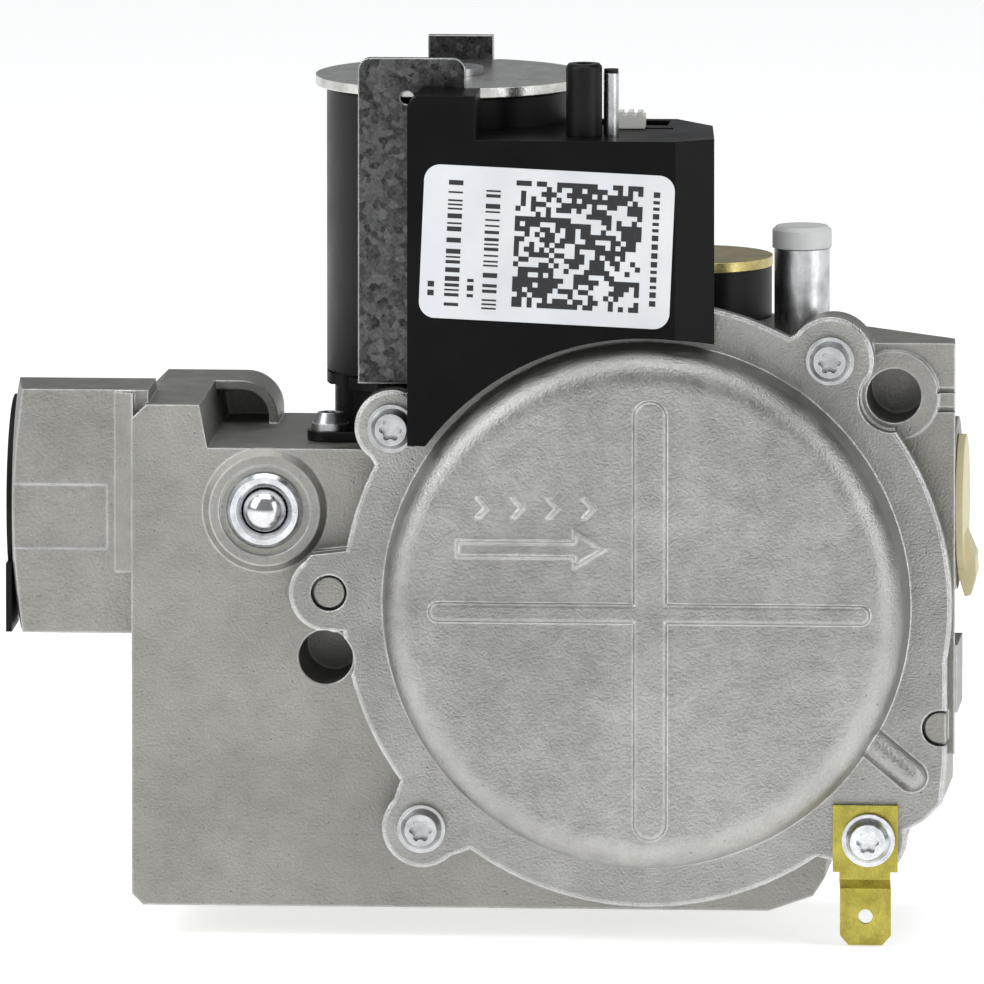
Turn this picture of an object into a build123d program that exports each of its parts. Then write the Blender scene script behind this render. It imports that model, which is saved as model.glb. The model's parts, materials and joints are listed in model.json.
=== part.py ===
from build123d import *
import math
import os

# Gas valve. Millimetres, +Z up, +X the way the gas flows, -Y the front with the diaphragm cover.
# Heights are drawn from a datum a little above the flow axis. Each finished part is then lifted
# so that the origin is the centre of the inlet mouth, on the flow axis.

# ---- flow axis ----
PORT_Z = -1.7

# ---- ports ----
INLET_BOSS_LENGTH = 15.2
INLET_BOSS_HALF = 15.3
INLET_BOSS_BACK_R = 13.6
INLET_END_CONE_R = 15.0
INLET_THREAD_R = 9.3
INLET_THREAD_LENGTH = 15.0
INLET_RELIEF_R = 10.7
INLET_RELIEF_DEPTH = 2.0
OUTLET_FACE_X = 117.4
OUTLET_BOSS_R = 10.8
OUTLET_THREAD_R = 7.35
OUTLET_THREAD_LENGTH = 13.0
OUTLET_RELIEF_R = 8.0
OUTLET_RELIEF_DEPTH = 1.4

# ---- body casting ----
BODY_LEFT = 15.2
BODY_RIGHT = 118.0
BODY_RIGHT_BACK = 115.6
BODY_BOTTOM = -50.9
BODY_FRONT = -18.0
BODY_BACK = 18.0
TOP_LEFT_Z = 12.0
SHELF_Z = 6.6
TOP_RIGHT_Z = 20.5
SHELF_START_X = 24.7
STEP_X = 71.5
HOOD_END_X = 31.6
HOOD_FRONT_Y = 7.0
HOOD_WALL = 1.1
LOWER_RIGHT_Z = -31.0
CORE_LEFT = 18.6
CORE_BOTTOM = -47.2
CORE_FRONT_Y = -9.5

# ---- diaphragm cover ----
COVER_X = 79.8
COVER_Z = -12.0
FLANGE_R = 38.0
CLAMP_Y = -19.5
DIAPHRAGM_T = 0.6
FLANGE_T = 2.4
FLANGE_FRONT = CLAMP_Y - DIAPHRAGM_T - FLANGE_T
DOME_BASE_R = 33.2
DOME_SHOULDER_R = 32.4
DOME_TOP_R = 28.2
DOME_SHOULDER_Y = -27.0
DOME_FRONT = -31.0
DOME_WALL = 2.2
POCKET_R = 31.0
POCKET_FLOOR_Y = -13.0
EAR_TL = (48.1, 9.9)
EAR_TR = (102.7, 18.8)
EAR_BL = (51.8, -40.3)
EAR_BR = (107.6, -41.1)
EAR_TL_R = 4.7
EAR_TR_R = 5.4
EAR_BL_R = 5.0
EAR_BR_R = 4.7
LOBE = (40.2, -10.9)
LOBE_R = 5.0
RIGHT_PEG = (116.4, -27.2)
PEG_R = 1.9
PEG_HOLE_R = 2.25
BEAD_R = 2.0

# ---- tapped mounting holes ----
MOUNT_LEFT = (39.5, -19.5)
MOUNT_RIGHT = (110.4, 14.0)
MOUNT_R = 3.4
MOUNT_DEPTH_LEFT = 14.0
MOUNT_DEPTH_RIGHT = 10.0
MOUNT_RING_R = 5.6
MOUNT_CUT_R = 4.2

# ---- expander plug ----
PLUG = (31.9, -1.1)
PLUG_BOSS_R = 7.9
PLUG_BOSS_H = 1.0
PLUG_R = 4.75
PLUG_BALL_R = 2.9

# ---- screws ----
SCREW_SHANK_R = 1.7
SCREW_HOLE_R = 1.8
SCREW_HEAD_R = 3.0
SCREW_HEAD_H = 2.3

# ---- large solenoid ----
COIL_X = 53.9
COIL_Y = -0.5
JACKET_R = 15.5
JACKET_BOTTOM = 14.9
JACKET_TOP = 50.2
BASE_R = 14.5
YOKE_T = 1.2
YOKE_FLOOR_Z = 14.8
YOKE_TOP_Z = 55.6
YOKE_LEFT_X = 43.5
YOKE_RIGHT_X = 56.9
YOKE_FRONT_Y = -17.4
PLATE_R = 16.9
PLATE_Z = 50.6
PLATE_T = 1.2
PLUNGER_R = 5.3
TUBE_IN_R = 5.38
TUBE_OUT_R = 6.0
PLUNGER_TOP = 30.0
POLE_FACE_Z = 33.0
SEAT_Z = -6.6
CHAMBER_R = 9.5

# ---- main valve, on an axis along Y through the cover's centre ----
STEM_R = 1.8
STEM_BORE_R = 1.86
MAIN_SEAT_Y = 4.0
MAIN_SEAT_R = 6.5
MAIN_CHAMBER_R = 9.5
MAIN_DISC_R = 8.2
REAR_COVER_R = 15.5
REAR_GASKET_T = 0.6
REAR_COVER_T = 3.0
REAR_SCREW_CIRCLE_R = 12.5

# ---- control housing ----
BOX_LEFT = 50.3
BOX_STEP_X = 58.8
BOX_FACET_X = 83.7
BOX_RIGHT = 88.3
BOX_LEAN = 1.1
BOX_FRONT = -27.0
BOX_BACK = -2.2
BOX_TOP_LEFT = 52.0
BOX_TOP = 46.5
BOX_BOTTOM = 8.2
BOX_WALL = 1.6
COIL_CLEARANCE_R = 16.2
DOME_CLEARANCE_R = 33.9
SOCKET_X0 = 72.6
SOCKET_X1 = 81.6
SOCKET_Y0 = -9.4
SOCKET_Y1 = -3.8
SOCKET_FLOOR_Z = 36.5
SWITCH_X = 77.2
SWITCH_Y = -12.6

# ---- small solenoid ----
PILOT_X = 83.5
PILOT_Y = 8.6
PILOT_R = 10.0
PILOT_TOP = 27.0
PILOT_PLATE_T = 1.2

# ---- pressure regulator ----
REG_X = 98.4
REG_Y = -9.9
TOWER_R = 3.45
TOWER_TOP = 31.4
CAP_R = 3.7
CAP_TOP = 34.2
ADJUSTER_R = 2.0


def block(x0, x1, y0, y1, z0, z1):
    """A box given by its six faces."""
    middle = ((x0 + x1) / 2, (y0 + y1) / 2, (z0 + z1) / 2)
    return Pos(*middle) * Box(x1 - x0, y1 - y0, z1 - z0)


def bar_x(r, x0, x1, y, z):
    """A cylinder along X."""
    return Pos((x0 + x1) / 2, y, z) * Rot(0, 90, 0) * Cylinder(r, x1 - x0)


def bar_y(r, place, y0, y1):
    """A cylinder along Y at place (x, z)."""
    return Pos(place[0], (y0 + y1) / 2, place[1]) * Rot(90, 0, 0) * Cylinder(r, y1 - y0)


def bar_z(r, x, y, z0, z1):
    """A cylinder along Z."""
    return Pos(x, y, (z0 + z1) / 2) * Cylinder(r, z1 - z0)


def cone_z(r0, r1, x, y, z0, z1):
    """A cone along Z, radius r0 at z0 and r1 at z1."""
    return Pos(x, y, (z0 + z1) / 2) * Cone(r0, r1, z1 - z0)


def cone_y(r_front, r_back, place, y_front, y_back):
    """A cone along Y, with the front radius at the smaller Y."""
    length = y_back - y_front
    return Pos(place[0], (y_front + y_back) / 2, place[1]) * Rot(90, 0, 0) * Cone(r_back, r_front, length)


def slab(sketch, y0, y1):
    """A sketch drawn in X and Z, made solid from y0 to y1."""
    plane = Plane(origin=(0, y1, 0), x_dir=(1, 0, 0), z_dir=(0, -1, 0))
    return extrude(plane * sketch, y1 - y0)


def plan(sketch, z0, z1):
    """A sketch drawn in X and Y, made solid from z0 to z1."""
    return extrude(Pos(0, 0, z0) * sketch, z1 - z0)


def outline(points):
    """A filled polygon."""
    return make_face(Polyline(*points, close=True))


def disc(place, r):
    """A filled circle in a sketch."""
    return Pos(*place) * Circle(r)


def spring(radius, wire, length, turns):
    """A round-wire compression spring standing on z = 0, its ends inside the given length."""
    pitch = (length - 2 * wire) / turns
    path = Pos(0, 0, wire) * Helix(pitch=pitch, height=pitch * turns, radius=radius)
    start = path @ 0
    section = Plane(origin=start, z_dir=path % 0) * Circle(wire)
    return sweep(section, path)


def ear(place, r):
    """A screw ear that flares into the round flange."""
    dx = COVER_X - place[0]
    dz = COVER_Z - place[1]
    reach = math.hypot(dx, dz)
    ux = dx / reach
    uz = dz / reach
    flare = r + 3.2
    depth = 6.5
    corners = [
        (place[0] - uz * r, place[1] + ux * r),
        (place[0] + uz * r, place[1] - ux * r),
        (place[0] + ux * depth + uz * flare, place[1] + uz * depth - ux * flare),
        (place[0] + ux * depth - uz * flare, place[1] + uz * depth + ux * flare),
    ]
    return outline(corners) + disc(place, r)


def flange_outline(inset):
    """The cover's flange: a circle, four ears, the peg lobe and the lower right corner."""
    shape = disc((COVER_X, COVER_Z), FLANGE_R - inset)
    shape += ear(EAR_TL, EAR_TL_R - inset)
    shape += ear(EAR_TR, EAR_TR_R - inset)
    shape += ear(EAR_BL, EAR_BL_R - inset)
    shape += ear(EAR_BR, EAR_BR_R - inset)
    shape += disc(LOBE, LOBE_R - inset)
    shape += outline([(37.4, -10.9), (37.4, -6.2), (46.0, -5.2), (46.0, -15.6), (41.0, -15.6)])
    right = 117.2 - inset
    corner = [
        (100.0, -12.0),
        (right, -14.0),
        (right, LOWER_RIGHT_Z),
        (right - 0.5, -36.6),
        (114.8 - inset, -38.6),
        (111.8, -40.4 + inset),
        (106.0, -44.6 + inset),
        (95.0, -42.0),
    ]
    shape += outline(corner)
    shape -= disc(MOUNT_RIGHT, MOUNT_CUT_R)
    shape -= disc(MOUNT_LEFT, MOUNT_R + 0.5)
    shape -= disc(PLUG, PLUG_BOSS_R)
    return shape


def dome_solid():
    """The pressed dome: flat front, rounded shoulder and a slightly sloped wall."""
    middle_r = DOME_TOP_R + 0.72 * (DOME_SHOULDER_R - DOME_TOP_R)
    middle_y = DOME_FRONT + 0.28 * (DOME_SHOULDER_Y - DOME_FRONT)
    profile = Polyline(
        (DOME_SHOULDER_R, DOME_SHOULDER_Y),
        (DOME_BASE_R, CLAMP_Y - DIAPHRAGM_T),
        (0, CLAMP_Y - DIAPHRAGM_T),
        (0, DOME_FRONT),
        (DOME_TOP_R, DOME_FRONT),
    )
    shoulder = ThreePointArc(
        (DOME_TOP_R, DOME_FRONT), (middle_r, middle_y), (DOME_SHOULDER_R, DOME_SHOULDER_Y)
    )
    turned = revolve(make_face(profile + shoulder), Axis.Y)
    return Pos(COVER_X, 0, COVER_Z) * turned


def diaphragm_cover():
    edge = 0.35
    flange = slab(flange_outline(0.0), FLANGE_FRONT + edge, CLAMP_Y - DIAPHRAGM_T)
    flange += slab(flange_outline(edge), FLANGE_FRONT, FLANGE_FRONT + edge)
    dome = dome_solid()
    hollow = cone_y(
        DOME_TOP_R - 1.0, DOME_BASE_R - DOME_WALL, (COVER_X, COVER_Z), DOME_FRONT + DOME_WALL, CLAMP_Y
    )
    cover = flange + dome + flow_marks() - hollow
    for place in (EAR_TL, EAR_TR, EAR_BL, EAR_BR):
        cover -= bar_y(SCREW_HOLE_R, place, FLANGE_FRONT - 1, CLAMP_Y)
    cover -= bar_y(PEG_HOLE_R, LOBE, FLANGE_FRONT - 1, CLAMP_Y)
    cover -= bar_y(PEG_HOLE_R, RIGHT_PEG, FLANGE_FRONT - 1, CLAMP_Y)
    return cover


def flow_marks():
    """Cross ribs, the raised arrow, plain chevrons and the vent bead on the cover."""
    rib_h = 0.7
    rib_round = 0.6
    up = slab(Pos(80.8, -12.9) * RectangleRounded(4.2, 55.0, 2.05), DOME_FRONT - rib_h, DOME_FRONT + 0.5)
    across = slab(Pos(80.7, -12.0) * RectangleRounded(55.0, 2.5, 1.2), DOME_FRONT - rib_h, DOME_FRONT + 0.5)
    marks = fillet(up.faces().sort_by(Axis.Y)[0].edges(), rib_round)
    marks += fillet(across.faces().sort_by(Axis.Y)[0].edges(), rib_round)
    arrow = outline(
        [
            (56.6, -2.9),
            (71.2, -2.9),
            (71.2, -1.4),
            (75.5, -4.0),
            (71.2, -6.6),
            (71.2, -5.2),
            (56.6, -5.2),
        ]
    )
    rim = arrow - offset(arrow, amount=-0.5)
    marks += slab(arrow, DOME_FRONT - 0.15, DOME_FRONT + 0.5)
    marks += slab(rim, DOME_FRONT - 0.35, DOME_FRONT + 0.5)
    for index in range(4):
        x = 59.0 + index * 4.4
        chevron = outline(
            [(x, 2.4), (x + 0.7, 2.4), (x + 1.9, 1.1), (x + 0.7, -0.2), (x, -0.2), (x + 1.2, 1.1)]
        )
        marks += slab(chevron, DOME_FRONT - 0.35, DOME_FRONT + 0.5)
    # A round bead runs from the dome's wall down to the lower right.
    start = Vector(107.4, FLANGE_FRONT + 0.3, -28.6)
    end = Vector(112.9, FLANGE_FRONT + 0.3, -33.2)
    along = end - start
    bead = Plane(origin=start, z_dir=along) * Cylinder(
        BEAD_R, along.length, align=(Align.CENTER, Align.CENTER, Align.MIN)
    )
    bead += Pos(end) * Sphere(BEAD_R)
    bead -= block(100, 120, FLANGE_FRONT + 0.5, FLANGE_FRONT + 5, -40, -20)
    return marks + bead


def body_outline():
    """The casting seen from the front, below and behind the cover."""
    main = outline(
        [
            (BODY_LEFT, BODY_BOTTOM + 1.4),
            (BODY_LEFT + 1.4, BODY_BOTTOM),
            (COVER_X + 15.0, BODY_BOTTOM),
            (COVER_X + 20.5, BODY_BOTTOM + 1.9),
            (COVER_X + 22.0, BODY_BOTTOM + 4.2),
            (COVER_X + 22.4, BODY_BOTTOM + 8.0),
            (BODY_RIGHT - 11.0, BODY_BOTTOM + 8.0),
            (BODY_RIGHT - 3.4, -38.4),
            (BODY_RIGHT - 1.3, -36.5),
            (BODY_RIGHT - 0.8, LOWER_RIGHT_Z),
            (BODY_RIGHT, LOWER_RIGHT_Z),
            (BODY_RIGHT, TOP_RIGHT_Z),
            (STEP_X, TOP_RIGHT_Z),
            (STEP_X, SHELF_Z),
            (SHELF_START_X, SHELF_Z),
            (SHELF_START_X - 1.0, TOP_LEFT_Z),
            (BODY_LEFT + 1.8, TOP_LEFT_Z),
            (BODY_LEFT, TOP_LEFT_Z - 1.8),
        ]
    )
    return main


def inlet_boss():
    """The square-fronted inlet boss with a turned cone at its mouth."""
    section = Pos(0, -INLET_BOSS_HALF / 2 - 2.6) * Rectangle(2 * INLET_BOSS_HALF, INLET_BOSS_HALF - 3.4)
    section += Circle(INLET_BOSS_BACK_R)
    section += outline(
        [
            (INLET_BOSS_HALF, -6.0),
            (9.6, 9.6),
            (-9.6, 9.6),
            (-INLET_BOSS_HALF, -6.0),
        ]
    )
    plane = Plane(origin=(0, 0, PORT_Z), x_dir=(0, 0, 1), z_dir=(1, 0, 0))
    section = Rot(0, 0, 180) * section if plane.y_dir.Y < 0 else section
    boss = extrude(plane * section, INLET_BOSS_LENGTH + 2.0)
    # The mouth cone trims the square's corners.
    reach = 2.0
    slope = 5.0
    mouth = Cone(INLET_END_CONE_R, INLET_END_CONE_R + reach * slope, reach)
    keep = Pos(reach / 2, 0, PORT_Z) * Rot(0, 90, 0) * mouth
    tail = block(reach, INLET_BOSS_LENGTH + 3.0, -20, 20, -20, 20)
    return boss & (keep + tail)


def boss_blend():
    """The sloped strip that joins the boss's front to the body's front."""
    slope = outline([(BODY_LEFT - 2.2, -16.2), (BODY_LEFT + 0.2, BODY_FRONT + 0.1), (BODY_LEFT + 0.2, -15.0)])
    return plan(slope, PORT_Z - 7.5, PORT_Z + INLET_BOSS_HALF - 0.2)


def outer_body():
    """The casting before its passages are cut."""
    body = slab(body_outline(), BODY_FRONT, BODY_BACK)
    # The high right part gets shallower towards the outlet.
    diagonal = outline([(92.5, 20.0), (92.5, 12.5), (119.0, -14.0), (130.0, -14.0), (130.0, 20.0)])
    body -= plan(diagonal, 13.4, TOP_RIGHT_Z + 1)
    # Its right face leans in towards the back.
    lean = outline(
        [(BODY_RIGHT, -30.0), (BODY_RIGHT, BODY_FRONT), (BODY_RIGHT_BACK, BODY_BACK), (130, 20), (130, -30)]
    )
    body -= plan(lean, BODY_BOTTOM - 1, TOP_RIGHT_Z + 1)
    body += inlet_boss() + boss_blend()
    body += bar_x(OUTLET_BOSS_R, BODY_RIGHT - 12.0, OUTLET_FACE_X, 0, PORT_Z)
    body += block(BODY_RIGHT - 3, BODY_RIGHT - 0.2, -9, 3, -27.0, -18.5)
    # Clamping pad behind the cover, and bosses for the screws.
    pad = slab(flange_outline(0.5), CLAMP_Y, BODY_FRONT + 0.2)
    body += pad
    body += bar_y(EAR_TL_R - 0.2, EAR_TL, CLAMP_Y, -14.4)
    body += bar_y(EAR_TR_R - 0.2, EAR_TR, CLAMP_Y, -14.2)
    body += bar_y(EAR_BL_R - 0.4, EAR_BL, CLAMP_Y, -6.0)
    body += bar_y(EAR_BR_R - 0.4, EAR_BR, CLAMP_Y, -6.0)
    body += bar_y(MOUNT_RING_R, MOUNT_RIGHT, BODY_FRONT - 0.9, BODY_FRONT + 1.0)
    body += bar_y(PEG_R, LOBE, FLANGE_FRONT + 0.6, BODY_FRONT)
    right_peg = bar_y(PEG_R, RIGHT_PEG, FLANGE_FRONT + 0.6, BODY_FRONT)
    body += right_peg & block(110, 117.1, -30, 0, -30, -20)
    body += cone_y(PLUG_BOSS_R - 1.0, PLUG_BOSS_R, PLUG, BODY_FRONT - PLUG_BOSS_H, BODY_FRONT + 0.1)
    body += hood()
    return body


def hood():
    """The thin arched wall behind the shelf, open to the front."""
    width = HOOD_END_X - SHELF_START_X + 2.0
    height = TOP_LEFT_Z - SHELF_Z + 1.0
    middle_x = HOOD_END_X - width / 2
    middle_z = TOP_LEFT_Z - height / 2
    corner = 4.6
    arch = Pos(middle_x, middle_z) * Rectangle(width, height)
    arch = fillet(arch.vertices().sort_by(Axis.X)[-2:].sort_by(Axis.Y)[-1:], corner)
    inner = Pos(middle_x, middle_z - HOOD_WALL) * Rectangle(width - 2 * HOOD_WALL, height)
    inner = fillet(inner.vertices().sort_by(Axis.X)[-2:].sort_by(Axis.Y)[-1:], corner - HOOD_WALL)
    wall = slab(arch, HOOD_FRONT_Y, BODY_BACK) - slab(inner, HOOD_FRONT_Y - 1, BODY_BACK - 1.5)
    return wall


def valve_passages():
    """Everything the gas runs through, as one solid to cut away."""
    cut = bar_x(INLET_THREAD_R, -1, INLET_RELIEF_DEPTH + INLET_THREAD_LENGTH, 0, PORT_Z)
    cut += bar_x(INLET_RELIEF_R, -1, INLET_RELIEF_DEPTH, 0, PORT_Z)
    cut += bar_x(8.4, 15, 24.0, 0, PORT_Z)
    cut += bar_x(5.6, 20, COIL_X, 0, PORT_Z)
    # Chamber, seat and drop below the large solenoid.
    cut += bar_z(CHAMBER_R, COIL_X, COIL_Y, -8.0, SHELF_Z + 1)
    cut += bar_z(12.0, COIL_X, COIL_Y, 4.5, SHELF_Z + 1)
    cut += Pos(COIL_X, COIL_Y, 4.5) * Torus(10.75, 0.75)
    cut += bar_z(4.2, COIL_X, COIL_Y, -14.0, -6.0)
    cut += block(COIL_X - 6, COIL_X + 6, COIL_Y - 6, 13.0, -17.5, -11.0)
    cut += bar_x(3.2, COIL_X, COVER_X, 9.0, COVER_Z - 2)
    # Main valve, front to back.
    axis = (COVER_X, COVER_Z)
    cut += bar_y(POCKET_R, axis, CLAMP_Y - 2, POCKET_FLOOR_Y)
    cut += bar_y(STEM_BORE_R, axis, POCKET_FLOOR_Y - 1, 5)
    cut += bar_y(8.0, axis, -9.0, 0.5)
    cut += bar_y(MAIN_SEAT_R, axis, -1.0, MAIN_SEAT_Y + 1)
    cut += bar_y(MAIN_CHAMBER_R, axis, MAIN_SEAT_Y - 1, BODY_BACK + 1)
    # Outlet.
    inner_x = OUTLET_FACE_X - OUTLET_RELIEF_DEPTH - OUTLET_THREAD_LENGTH
    cut += block(COVER_X - 3, inner_x, -8.0, -1.6, -6.5, 3.5)
    cut += bar_x(OUTLET_THREAD_R, inner_x, OUTLET_FACE_X + 1, 0, PORT_Z)
    cut += bar_x(OUTLET_RELIEF_R, OUTLET_FACE_X - OUTLET_RELIEF_DEPTH, OUTLET_FACE_X + 1, 0, PORT_Z)
    # Small solenoid seat and regulator well.
    cut += bar_z(4.4, PILOT_X, PILOT_Y, 13.0, TOP_RIGHT_Z + 1)
    cut += bar_z(1.5, PILOT_X, PILOT_Y, -6.0, 14.0)
    cut += bar_z(4.4, REG_X, REG_Y, 14.6, TOP_RIGHT_Z + 1)
    cut += bar_z(1.0, REG_X, REG_Y + 2.5, -4.0, 15.0)
    return cut


def casting_cores():
    """Pockets cored from the back, with webs left between them, to keep the walls even."""
    pocket = 11.4
    web = 2.6
    pitch = pocket + web
    places = [(column, 0) for column in range(5)]
    places += [(0, 1), (2, 1), (5.65, 1.2)]
    cut = None
    for column, row in places:
        x0 = CORE_LEFT + column * pitch
        z0 = CORE_BOTTOM + row * pitch
        core = block(x0, x0 + pocket, CORE_FRONT_Y, BODY_BACK + 1, z0, z0 + pocket)
        cut = core if cut is None else cut + core
    return cut


def body_casting():
    body = outer_body()
    body -= valve_passages()
    # The main seat ring stands up from its web, and the redundant seat from its floor.
    seat = bar_y(MAIN_SEAT_R + 1.0, (COVER_X, COVER_Z), MAIN_SEAT_Y - 1.5, MAIN_SEAT_Y)
    seat -= bar_y(MAIN_SEAT_R, (COVER_X, COVER_Z), MAIN_SEAT_Y - 2, MAIN_SEAT_Y + 1)
    body += seat
    lower_seat = bar_z(5.2, COIL_X, COIL_Y, -8.5, SEAT_Z) - bar_z(4.2, COIL_X, COIL_Y, -9, SEAT_Z + 1)
    body += lower_seat
    body -= casting_cores()
    # Expander plug hole in its raised boss, with a narrow groove round it.
    body -= bar_y(PLUG_R, PLUG, BODY_FRONT - 2, BODY_FRONT + 9)
    body -= bar_y(PLUG_R + 0.9, PLUG, BODY_FRONT - 2, BODY_FRONT - PLUG_BOSS_H + 0.5)
    body -= bar_y(2.0, PLUG, BODY_FRONT + 8, -4)
    # Tapped holes.
    body -= bar_y(MOUNT_R, MOUNT_LEFT, BODY_FRONT - 2, BODY_FRONT + MOUNT_DEPTH_LEFT)
    body -= bar_y(MOUNT_R, MOUNT_RIGHT, BODY_FRONT - 2, BODY_FRONT - 0.9 + MOUNT_DEPTH_RIGHT)
    for place in (EAR_TL, EAR_TR):
        body -= bar_y(SCREW_HOLE_R, place, CLAMP_Y - 1, -15.0)
    for place in (EAR_BL, EAR_BR):
        body -= bar_y(SCREW_HOLE_R, place, CLAMP_Y - 1, -10.0)
    for place in rear_screw_places():
        body -= bar_y(1.3, place, BODY_BACK - 8, BODY_BACK + 1)
    for x, y in coil_screw_places():
        body -= bar_z(1.5, x, y, -0.5, SHELF_Z + 1)
    # Marking panel on the inlet boss, left blank.
    body -= block(-1.0, 12.0, -20.0, -15.9, -6.4, 1.6)
    # Two short grooves across the front right edge.
    for z in (12.2, 14.6):
        body -= block(115.8, BODY_RIGHT + 1, BODY_FRONT - 1, BODY_FRONT + 0.9, z - 0.3, z + 0.3)
    return body


def rear_screw_places():
    """Four screws round the rear cover, as (x, z)."""
    places = []
    for index in range(4):
        angle = math.radians(45 + 90 * index)
        x = COVER_X + REAR_SCREW_CIRCLE_R * math.cos(angle)
        z = COVER_Z + REAR_SCREW_CIRCLE_R * math.sin(angle)
        places.append((x, z))
    return places


def coil_screw_places():
    """Two shelf screws that hold the coil base, as (x, y)."""
    return [(39.4, -8.6), (68.4, 7.6)]


def six_lobe(r, depth):
    """A six-lobed drive socket, opening at z = 0 and going down."""
    shape = Circle(r * 0.78)
    for index in range(6):
        angle = math.radians(60 * index)
        shape += Pos(r * 0.72 * math.cos(angle), r * 0.72 * math.sin(angle)) * Circle(r * 0.28)
    return extrude(Pos(0, 0, -depth) * shape, depth + 1)


def screw(head_r, head_h, shank_r, shank_length, socket_r):
    """A pan-head screw with a washer face: head above z = 0, shank below."""
    body = Cylinder(head_r, head_h * 0.4, align=(Align.CENTER, Align.CENTER, Align.MIN))
    dome = Pos(0, 0, head_h * 0.4) * Cone(
        head_r * 0.86, head_r * 0.66, head_h * 0.6, align=(Align.CENTER, Align.CENTER, Align.MIN)
    )
    shank = Pos(0, 0, -shank_length) * Cylinder(
        shank_r, shank_length, align=(Align.CENTER, Align.CENTER, Align.MIN)
    )
    socket = Pos(0, 0, head_h) * six_lobe(socket_r, head_h * 0.55)
    return body + dome + shank - socket


def front_screw(place, seat_y, shank_length, head_r, head_h):
    """A screw driven in from the front."""
    body = screw(head_r, head_h, SCREW_SHANK_R, shank_length, 1.45)
    return Pos(place[0], seat_y, place[1]) * Rot(90, 0, 0) * body


def cover_screws():
    short = front_screw(EAR_TL, FLANGE_FRONT, 7.0, SCREW_HEAD_R, SCREW_HEAD_H)
    upper = front_screw(EAR_TR, FLANGE_FRONT, 7.0, SCREW_HEAD_R, SCREW_HEAD_H)
    lower = front_screw(EAR_BL, FLANGE_FRONT, 11.0, SCREW_HEAD_R, SCREW_HEAD_H)
    return Compound([short, upper, lower])


TERMINAL_T = 0.8
TERMINAL_X = 107.1
TERMINAL_TOP = -36.8
TERMINAL_BOTTOM = -54.6
BLADE_WIDTH = 6.35


def ground_screw():
    return front_screw(EAR_BR, FLANGE_FRONT - TERMINAL_T, 11.0, 3.3, 2.6)


def ground_terminal():
    """A brass quick-connect blade with a plate under the ground screw."""
    y_out = FLANGE_FRONT - TERMINAL_T
    plate = block(103.1, 111.2, y_out, FLANGE_FRONT, -45.2, TERMINAL_TOP)
    step = 1.6
    # The neck steps back towards the casting below the ear.
    side = [
        (y_out, -45.0),
        (FLANGE_FRONT, -45.0),
        (FLANGE_FRONT, -46.4),
        (FLANGE_FRONT + step, -47.8),
        (FLANGE_FRONT + step, TERMINAL_BOTTOM),
        (FLANGE_FRONT + step - TERMINAL_T, TERMINAL_BOTTOM),
        (FLANGE_FRONT + step - TERMINAL_T, -47.5),
        (y_out, -46.1),
    ]
    plane = Plane(origin=(TERMINAL_X - BLADE_WIDTH / 2, 0, 0), x_dir=(0, 1, 0), z_dir=(1, 0, 0))
    blade = extrude(plane * outline(side), BLADE_WIDTH)
    tip = outline(
        [
            (TERMINAL_X - 4, TERMINAL_BOTTOM - 1),
            (TERMINAL_X - 4, TERMINAL_BOTTOM + 1.2),
            (TERMINAL_X - BLADE_WIDTH / 2, TERMINAL_BOTTOM + 1.2),
            (TERMINAL_X - BLADE_WIDTH / 2 + 1.1, TERMINAL_BOTTOM),
            (TERMINAL_X + BLADE_WIDTH / 2 - 1.1, TERMINAL_BOTTOM),
            (TERMINAL_X + BLADE_WIDTH / 2, TERMINAL_BOTTOM + 1.2),
            (TERMINAL_X + 4, TERMINAL_BOTTOM + 1.2),
            (TERMINAL_X + 4, TERMINAL_BOTTOM - 1),
        ]
    )
    terminal = plate + blade - slab(tip, -30, -10)
    terminal -= bar_y(SCREW_HOLE_R, EAR_BR, -30, -15)
    terminal -= bar_y(0.9, (TERMINAL_X, -51.0), -30, -10)
    return terminal


def passage_plug_sleeve():
    """Expander sleeve pressed in the plug hole, its lip proud of the boss."""
    face_y = BODY_FRONT - PLUG_BOSS_H
    sleeve = bar_y(PLUG_R, PLUG, face_y + 0.1, BODY_FRONT + 8.8)
    sleeve += cone_y(4.2, PLUG_R, PLUG, face_y - 0.5, face_y + 0.1)
    sleeve -= bar_y(PLUG_BALL_R, PLUG, face_y - 1, face_y + 6.5)
    sleeve -= cone_y(PLUG_BALL_R + 0.7, PLUG_BALL_R, PLUG, face_y - 0.6, face_y + 0.4)
    return sleeve


def passage_plug_ball():
    return Pos(PLUG[0], BODY_FRONT - PLUG_BOSS_H + 1.3, PLUG[1]) * Sphere(PLUG_BALL_R - 0.02)


def inlet_screen():
    """A perforated disc across the inlet passage."""
    x0 = INLET_RELIEF_DEPTH + INLET_THREAD_LENGTH + 0.6
    sheet = bar_x(8.3, x0, x0 + 0.5, 0, PORT_Z)
    pitch = 2.0
    for row in range(-3, 4):
        for column in range(-3, 4):
            y = pitch * (column + (row % 2) / 2)
            z = pitch * 0.87 * row
            if math.hypot(y, z) < 7.2:
                sheet -= bar_x(0.65, x0 - 1, x0 + 1.5, y, PORT_Z + z)
    return sheet


def inlet_cap():
    """Black push-in cap with a pull tab at the bottom."""
    cap = bar_x(12.6, -0.9, -0.15, 0, PORT_Z)
    cap += bar_x(INLET_RELIEF_R - 0.1, -0.6, INLET_RELIEF_DEPTH - 0.4, 0, PORT_Z)
    cap -= bar_x(INLET_RELIEF_R - 1.0, 0.1, 5, 0, PORT_Z)
    cap += block(-0.9, -0.15, -13.5, -3.0, PORT_Z - 15.6, PORT_Z - 7.0)
    return cap


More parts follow.
